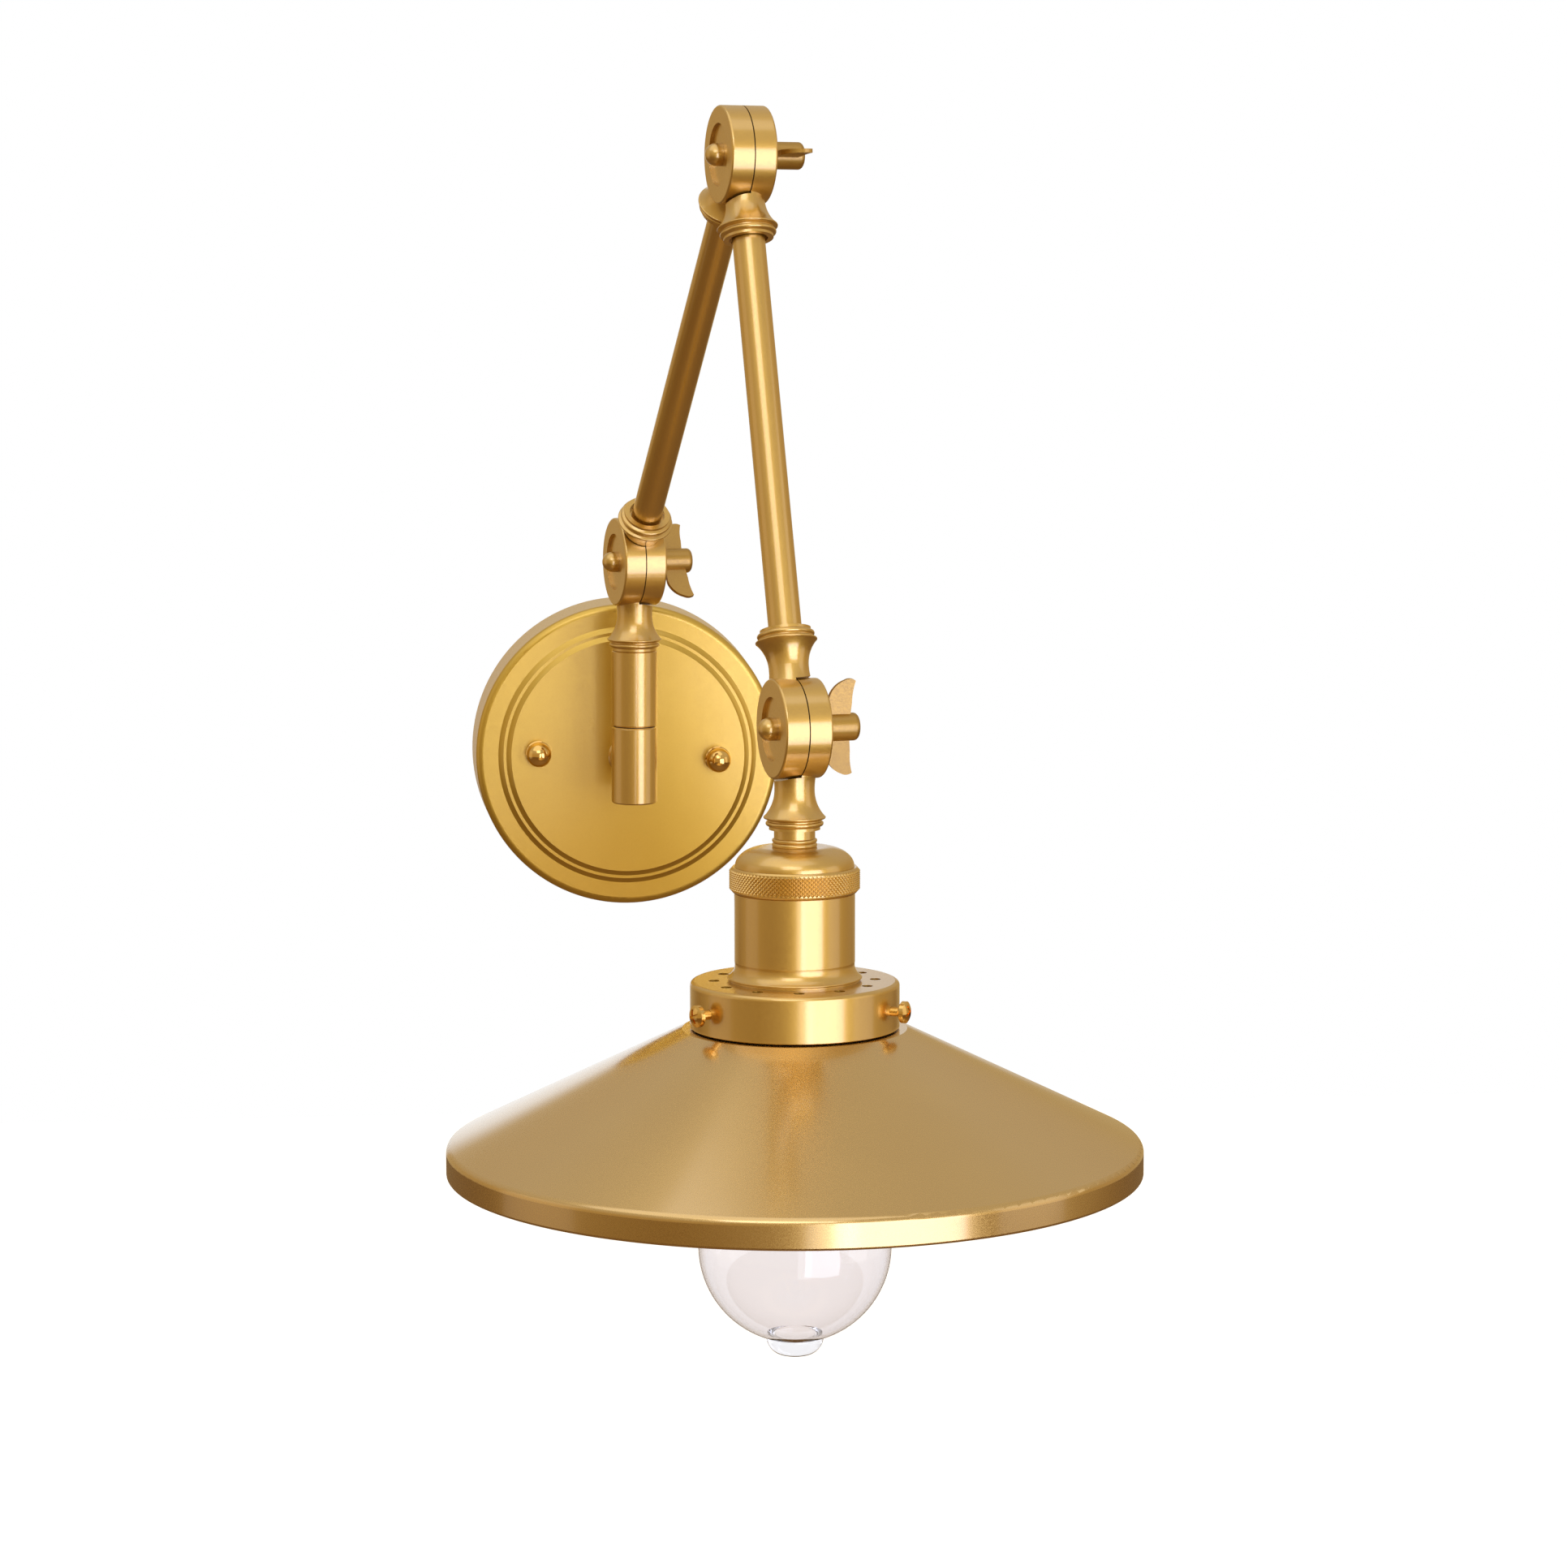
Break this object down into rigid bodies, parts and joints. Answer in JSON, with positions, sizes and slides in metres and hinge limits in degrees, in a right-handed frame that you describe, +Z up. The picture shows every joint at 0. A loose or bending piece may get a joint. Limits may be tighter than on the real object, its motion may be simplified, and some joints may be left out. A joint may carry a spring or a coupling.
{
  "type": "articulating wall lamp",
  "caption": "Swing-arm wall lamp in gold lacquer: round wall plate, upright swivel, two straight arms with wing-nut joints, vented holder, wide shallow cone shade and clear globe bulb.",
  "frame": {"origin": "centre of the wall plate on the wall plane, midway between the two wall-screw slots", "axes": "+Y points into the wall, +Z up, +X to the right along the wall as seen from the room; the lamp stands out towards -Y"},
  "size_m": [0.2294, 0.3658, 0.4114],
  "materials": {
    "satin_gold_paint": "satin gold metallic lacquer with a fine speckle, on zinc castings and steel tube",
    "gloss_gold_paint": "smoother, glossier gold lacquer on spun steel sheet",
    "polished_brass": "polished brass",
    "zinc_steel": "zinc-plated steel",
    "ground_green": "green-dyed screw",
    "black_nylon": "black nylon washer",
    "porcelain": "glazed white porcelain",
    "nickel_brass": "nickel-plated brass",
    "spring_brass": "plain spring brass",
    "clear_glass": "clear glass",
    "black_glass": "black vitrite",
    "filament_yellow": "yellow phosphor on filament sticks"
  },
  "bodies": {
    "wall_mount": {"backplate": "satin_gold_paint", "mounting_bar": "zinc_steel", "mounting_studs": "zinc_steel", "stud_lock_nuts": "zinc_steel", "cap_nuts": "polished_brass", "ground_screw": "ground_green", "post_nipple": "zinc_steel", "post_star_washer": "zinc_steel", "post_lock_nut": "zinc_steel", "swivel_base": "satin_gold_paint", "swivel_plug": "satin_gold_paint"},
    "swivel": {"swivel_washer": "black_nylon", "swivel_sleeve": "satin_gold_paint", "swivel_spindle": "zinc_steel", "swivel_retainer": "zinc_steel", "base_knuckle_left": "satin_gold_paint", "base_bolt": "satin_gold_paint", "base_friction_washer": "black_nylon", "base_wing_washer": "satin_gold_paint"},
    "base_nut": {"base_wing_nut": "satin_gold_paint"},
    "lower_arm": {"base_knuckle_right": "satin_gold_paint", "lower_arm_tube": "satin_gold_paint", "elbow_knuckle_left": "satin_gold_paint", "elbow_bolt": "satin_gold_paint", "elbow_friction_washer": "black_nylon", "elbow_wing_washer": "satin_gold_paint"},
    "elbow_nut": {"elbow_wing_nut": "satin_gold_paint"},
    "upper_arm": {"elbow_knuckle_right": "satin_gold_paint", "upper_arm_tube": "satin_gold_paint", "head_knuckle_left": "satin_gold_paint", "head_bolt": "satin_gold_paint", "head_friction_washer": "black_nylon", "head_wing_washer": "satin_gold_paint"},
    "head_nut": {"head_wing_nut": "satin_gold_paint"},
    "holder": {"head_knuckle_right": "satin_gold_paint", "head_nipple": "satin_gold_paint", "head_nipple_washer": "satin_gold_paint", "holder_nut": "zinc_steel", "holder_cap": "satin_gold_paint", "knurled_ring": "satin_gold_paint", "holder_shell": "satin_gold_paint", "socket_insulator": "porcelain", "socket_screw_shell": "nickel_brass", "socket_centre_contact": "spring_brass", "socket_terminal_screws": "spring_brass", "gallery": "satin_gold_paint", "shade": "gloss_gold_paint"},
    "thumb_screw_1": {"shade_screw_1": "polished_brass"},
    "thumb_screw_2": {"shade_screw_2": "polished_brass"},
    "thumb_screw_3": {"shade_screw_3": "polished_brass"},
    "bulb": {"bulb_glass": "clear_glass", "bulb_screw_cap": "nickel_brass", "bulb_insulator": "black_glass", "bulb_contact": "spring_brass", "bulb_stem": "clear_glass", "bulb_filament": "filament_yellow"}
  },
  "joints": [
    {"name": "swivel_turn", "type": "hinge", "parent": "wall_mount", "child": "swivel", "pos_m": [0, -0.0585, 0], "axis": [0, 0, 1], "range_deg": [-101.2, 78.8]},
    {"name": "base_tilt", "type": "hinge", "parent": "swivel", "child": "lower_arm", "pos_m": [0, -0.0585, 0.0771], "axis": [0.981, 0.1942, 0], "range_deg": [-52, 48]},
    {"name": "elbow", "type": "hinge", "parent": "lower_arm", "child": "upper_arm", "pos_m": [0.02533, -0.1864, 0.22344], "axis": [-0.981, -0.1942, 0], "range_deg": [-9, 158]},
    {"name": "head_tilt", "type": "hinge", "parent": "upper_arm", "child": "holder", "pos_m": [0.03741, -0.24741, 0.03757], "axis": [0.981, 0.1942, 0], "range_deg": [-100, 35]},
    {"name": "base_nut_turn", "type": "hinge", "parent": "swivel", "child": "base_nut", "pos_m": [0, -0.0585, 0.0771], "axis": [0.981, 0.1942, 0], "continuous": true},
    {"name": "elbow_nut_turn", "type": "hinge", "parent": "lower_arm", "child": "elbow_nut", "pos_m": [0.02533, -0.1864, 0.22344], "axis": [0.981, 0.1942, 0], "continuous": true},
    {"name": "head_nut_turn", "type": "hinge", "parent": "upper_arm", "child": "head_nut", "pos_m": [0.03741, -0.24741, 0.03757], "axis": [0.981, 0.1942, 0], "continuous": true},
    {"name": "thumb_screw_1_turn", "type": "hinge", "parent": "holder", "child": "thumb_screw_1", "pos_m": [0.00779, -0.26655, -0.05312], "axis": [-0.8729, -0.4878, 0.0081], "continuous": true},
    {"name": "thumb_screw_2_turn", "type": "hinge", "parent": "holder", "child": "thumb_screw_2", "pos_m": [0.06746, -0.26738, -0.0528], "axis": [0.8589, -0.5118, 0.0175], "continuous": true},
    {"name": "thumb_screw_3_turn", "type": "hinge", "parent": "holder", "child": "thumb_screw_3", "pos_m": [0.03835, -0.21531, -0.05428], "axis": [0.014, 0.9996, -0.0256], "continuous": true},
    {"name": "bulb_turn", "type": "hinge", "parent": "holder", "child": "bulb", "pos_m": [0.03781, -0.24946, -0.0424], "axis": [0.0051, -0.0257, -0.9997], "continuous": true}
  ]
}
